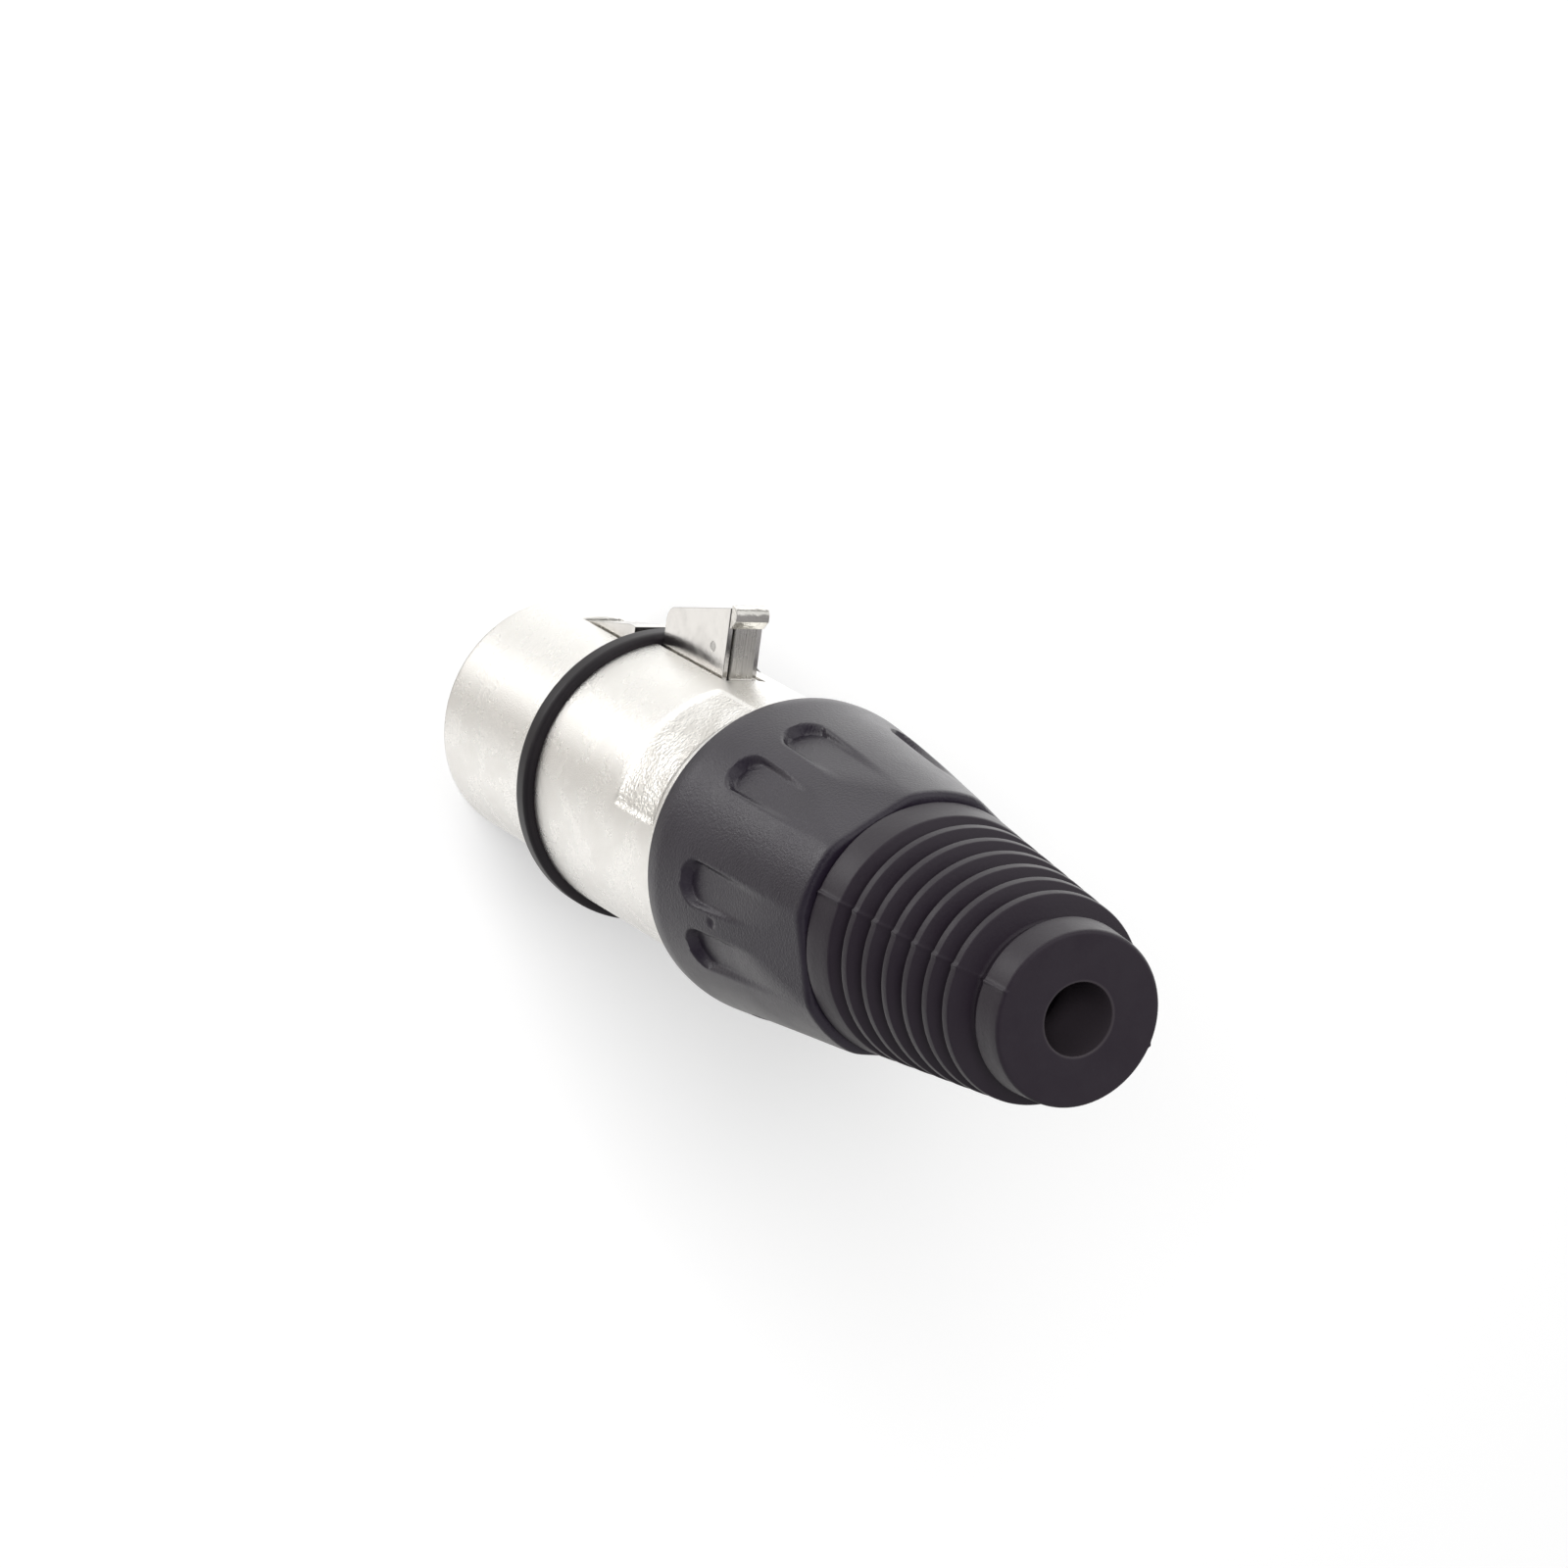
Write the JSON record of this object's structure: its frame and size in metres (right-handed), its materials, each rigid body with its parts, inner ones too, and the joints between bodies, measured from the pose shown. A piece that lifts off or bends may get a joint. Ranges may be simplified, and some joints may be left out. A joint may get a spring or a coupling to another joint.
{
  "type": "female xlr connector",
  "caption": "Female cable connector: plated shell with three sockets, push latch, marking ring, screw collar with finger flutes and a ribbed rubber boot.",
  "frame": {"origin": "on the connector's axis, in the plane of the nose's front face", "axes": "+Z along the axis from the nose to the cable end, +X towards the latch"},
  "size_m": [0.0236, 0.0202, 0.0694],
  "materials": {
    "nickel_plated_casting": "satin nickel plating on a zinc casting",
    "black_ring": "smooth black plastic with a soft gloss",
    "insulator": "fine matt black moulding",
    "contact_metal": "turned brass with thin bright plating",
    "spring_steel": "bright drawn steel",
    "latch_metal": "nickel plated pressed steel",
    "clamp_plastic": "plain grey acetal",
    "collar_plastic": "black plastic, semi gloss, lightly grained",
    "boot_rubber": "matt black rubber"
  },
  "bodies": {
    "connector_body": {"shell": "nickel_plated_casting", "marking_ring": "black_ring", "contact_insert": "insulator", "contact_1": "contact_metal", "contact_2": "contact_metal", "contact_3": "contact_metal", "earthing_clip": "spring_steel", "latch_pin": "spring_steel", "latch_spring": "spring_steel", "cable_clamp": "clamp_plastic"},
    "latch": {"latch_lever": "latch_metal", "latch_button": "latch_metal", "button_pin": "spring_steel"},
    "boot_body": {"boot": "boot_rubber"},
    "collar_body": {"screw_collar": "collar_plastic"}
  },
  "joints": [
    {"name": "latch_press", "type": "hinge", "parent": "connector_body", "child": "latch", "pos_m": [0.00575, 0, 0.0032], "axis": [0, -1, 0], "range_deg": [0, 6.5], "stiffness_Nm_per_rad": 0.2, "springref_deg": -8.59, "deforming": ["latch_spring"]},
    {"name": "boot_travel", "type": "slide", "parent": "connector_body", "child": "boot_body", "axis": [0, 0, 1], "range_m": [0, 0.00601]},
    {"name": "collar_screw", "type": "hinge", "parent": "boot_body", "child": "collar_body", "pos_m": [0, 0, 0.04], "axis": [0, 0, 1], "range_deg": [0, 2160]}
  ],
  "couplings": [
    {"joint": "boot_travel", "follows": "collar_screw", "m_per_rad": 0.00015915}
  ]
}
